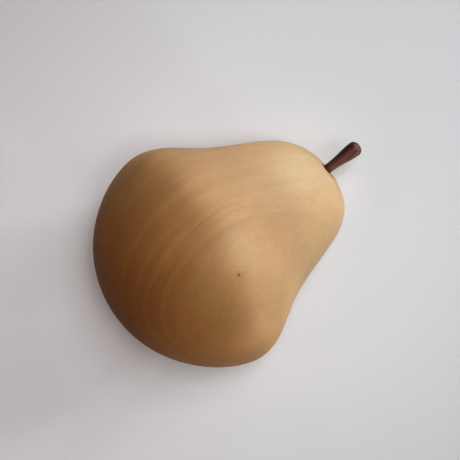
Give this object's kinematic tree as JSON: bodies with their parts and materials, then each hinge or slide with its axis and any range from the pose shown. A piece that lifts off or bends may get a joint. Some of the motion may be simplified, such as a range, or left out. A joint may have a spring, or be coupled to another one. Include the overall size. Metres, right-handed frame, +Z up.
{
  "type": "wooden pear",
  "caption": "Decorative life-size pear carved in pale wood with a slim dark wood stem, lying on its side on its belly and neck.",
  "frame": {"origin": "on the surface that the pear rests on, under the middle of the whole pear seen from above", "axes": "+X from the foot towards the stem along the surface, +Z up, +Y to the left when looking from the foot to the stem"},
  "size_m": [0.1006, 0.08, 0.0755],
  "materials": {
    "pear_wood": "satin, sanded smooth and waxed",
    "stem_wood": "satin, oiled dark wood"
  },
  "bodies": {
    "root": {"pear_body": "pear_wood", "stem": "stem_wood"}
  },
  "joints": []
}
